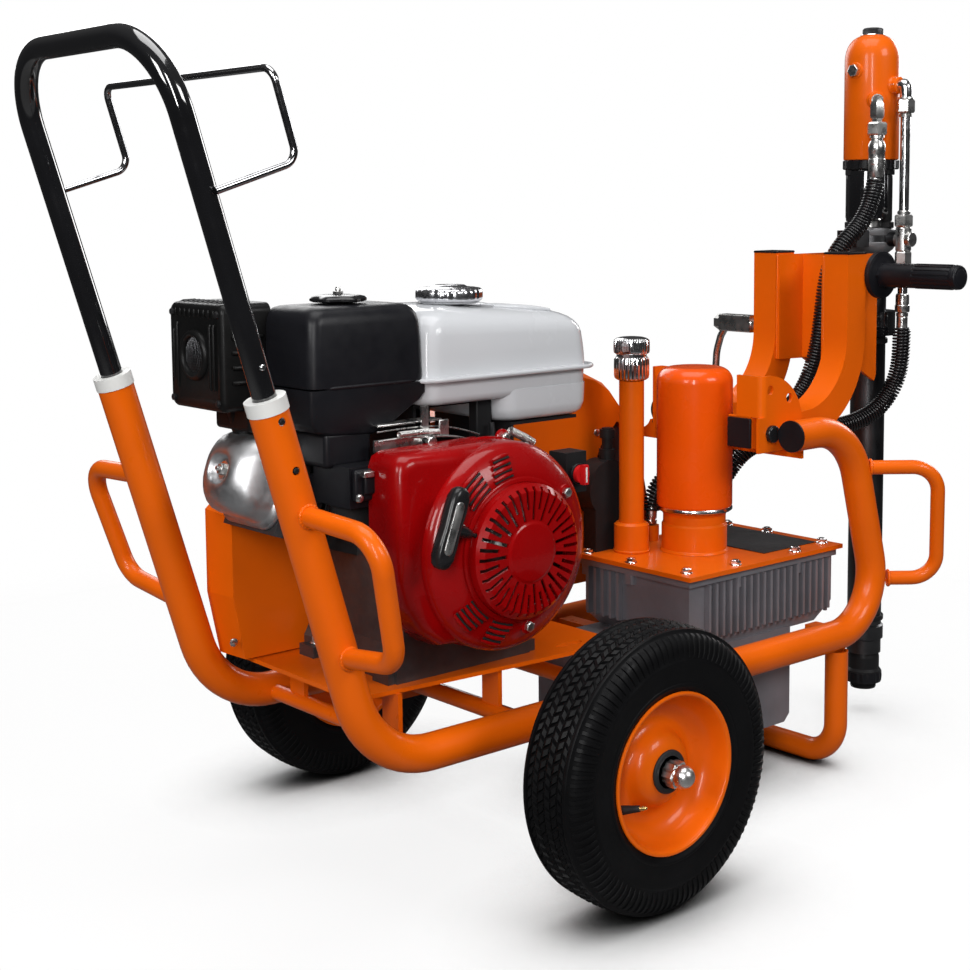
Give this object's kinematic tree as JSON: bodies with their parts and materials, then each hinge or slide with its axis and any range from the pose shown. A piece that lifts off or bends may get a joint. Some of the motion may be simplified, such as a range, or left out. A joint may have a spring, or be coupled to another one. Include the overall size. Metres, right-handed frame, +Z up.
{
  "type": "airless line striping paint pump cart",
  "caption": "Two-wheel push cart with a petrol engine, a belt-driven hydraulic unit and a tilting hydraulic paint pump on a yoke at the front.",
  "frame": {"origin": "on the ground under the middle of the overall length and width", "axes": "+X forward from the push handle to the paint pump, +Y to the left, +Z up"},
  "size_m": [1.345, 0.7424, 1.0555],
  "materials": {
    "frame_paint": "satin",
    "black_paint": "gloss",
    "black_plastic": "satin",
    "white_plastic": "satin",
    "zinc": "satin",
    "chrome": "polished",
    "steel": "machined",
    "cast_alu": "cast",
    "tank_cast": "satin",
    "engine_red": "gloss",
    "tank_white": "gloss",
    "muffler_black": "matte",
    "tyre": "matte",
    "rubber": "matte",
    "filter_paint": "gloss",
    "pump_dark": "satin",
    "red_plastic": "gloss"
  },
  "bodies": {
    "cart": {"side_tube_right": "frame_paint", "side_tube_left": "frame_paint", "handle_collars": "white_plastic", "tube_end_plugs": "black_plastic", "cross_members": "frame_paint", "engine_plate": "frame_paint", "front_stand": "frame_paint", "grab_loops": "frame_paint", "axle": "zinc", "pivot_bracket": "frame_paint", "pivot_pin": "black_paint", "reservoir_lid": "frame_paint", "lid_screws": "chrome", "reservoir_tank": "tank_cast", "fill_tube": "frame_paint", "filter_head": "frame_paint", "filter_canister": "filter_paint", "hydraulic_pump": "muffler_black", "drive_belt": "rubber", "belt_guard": "frame_paint", "crankcase": "cast_alu", "cylinder_head": "cast_alu", "valve_cover": "zinc", "blower_housing": "engine_red", "recoil_cover": "engine_red", "fuel_tank": "tank_white", "air_cleaner_base": "black_plastic", "air_cleaner_cover": "black_plastic", "muffler": "muffler_black", "carburettor": "cast_alu", "engine_bracket": "muffler_black", "pressure_hose": "rubber", "return_hose": "rubber"},
    "wheel_right": {"rim_right": "frame_paint", "tyre_right": "tyre"},
    "wheel_left": {"rim_left": "frame_paint", "tyre_left": "tyre"},
    "handle": {"handle_tube": "black_paint", "hose_rack": "black_paint"},
    "yoke": {"yoke_arms": "frame_paint", "yoke_cheeks": "frame_paint", "yoke_caps": "black_plastic", "pump_clamp": "black_paint", "hydraulic_motor": "frame_paint", "tie_rods": "black_paint", "fluid_pump": "pump_dark", "foot_valve": "black_paint", "transfer_pipe": "zinc"},
    "pump_rod": {"piston_rod": "chrome"},
    "clamp_lever": {"clamp_handle": "black_plastic"},
    "crank": {"crank_lever": "zinc"},
    "filler_cap": {"fill_cap": "chrome"},
    "tank_cap": {"fuel_cap": "chrome"},
    "cleaner_knob": {"air_cleaner_knob": "black_plastic"},
    "starter_pull": {"recoil_handle": "black_plastic"},
    "throttle": {"throttle_lever": "zinc"},
    "ignition_switch": {"engine_switch": "red_plastic"},
    "engine_shaft": {"crankshaft": "steel", "engine_pulley": "steel"},
    "pump_shaft": {"pump_pulley": "steel"}
  },
  "joints": [
    {"name": "right_wheel_spin", "type": "hinge", "parent": "cart", "child": "wheel_right", "pos_m": [-0.14145, -0.305, 0.165], "axis": [0, 1, 0], "continuous": true},
    {"name": "left_wheel_spin", "type": "hinge", "parent": "cart", "child": "wheel_left", "pos_m": [-0.14145, 0.305, 0.165], "axis": [0, 1, 0], "continuous": true},
    {"name": "handle_slide", "type": "slide", "parent": "cart", "child": "handle", "axis": [0.2915, 0, -0.9566], "range_m": [0, 0.19]},
    {"name": "pump_tilt", "type": "hinge", "parent": "cart", "child": "yoke", "pos_m": [0.27705, 0, 0.483], "axis": [0, -1, 0], "range_deg": [0, 41], "deforming": ["pressure_hose", "return_hose"]},
    {"name": "paint_pump_stroke", "type": "slide", "parent": "yoke", "child": "pump_rod", "axis": [0, 0, 1], "range_m": [-0.04, 0.04]},
    {"name": "clamp_turn", "type": "hinge", "parent": "yoke", "child": "clamp_lever", "pos_m": [0.53655, -0.116, 0.689], "axis": [0, 1, 0], "range_deg": [-90, 90]},
    {"name": "crank_turn", "type": "hinge", "parent": "yoke", "child": "crank", "pos_m": [0.48055, 0.068, 0.611], "axis": [0, 1, 0], "range_deg": [-60, 60]},
    {"name": "filler_cap_turn", "type": "hinge", "parent": "cart", "child": "filler_cap", "pos_m": [0.18455, 0.042, 0.57], "axis": [0, 0, 1], "range_deg": [0, 90]},
    {"name": "fuel_cap_turn", "type": "hinge", "parent": "cart", "child": "tank_cap", "pos_m": [-0.17645, 0, 0.68], "axis": [0, 0, 1], "range_deg": [0, 90]},
    {"name": "cleaner_knob_turn", "type": "hinge", "parent": "cart", "child": "cleaner_knob", "pos_m": [-0.35245, -0.014, 0.69], "axis": [0, 0, 1], "continuous": true},
    {"name": "starter_pull_slide", "type": "slide", "parent": "cart", "child": "starter_pull", "axis": [-0.936, 0, 0.352], "range_m": [0, 0.1], "stiffness_N_per_m": 40, "springref_m": -0.05},
    {"name": "throttle_turn", "type": "hinge", "parent": "cart", "child": "throttle", "pos_m": [-0.28145, -0.084, 0.526], "axis": [0, 1, 0], "range_deg": [0, 25]},
    {"name": "switch_turn", "type": "hinge", "parent": "cart", "child": "ignition_switch", "pos_m": [-0.08345, -0.135, 0.47], "axis": [0, 1, 0], "range_deg": [0, 60]},
    {"name": "engine_shaft_spin", "type": "hinge", "parent": "cart", "child": "engine_shaft", "pos_m": [-0.22145, 0, 0.404], "axis": [0, 1, 0], "continuous": true},
    {"name": "pump_shaft_spin", "type": "hinge", "parent": "cart", "child": "pump_shaft", "pos_m": [0.16855, 0.1, 0.396], "axis": [0, 1, 0], "continuous": true}
  ],
  "couplings": [
    {"joint": "pump_shaft_spin", "follows": "engine_shaft_spin", "ratio": 0.63158}
  ]
}
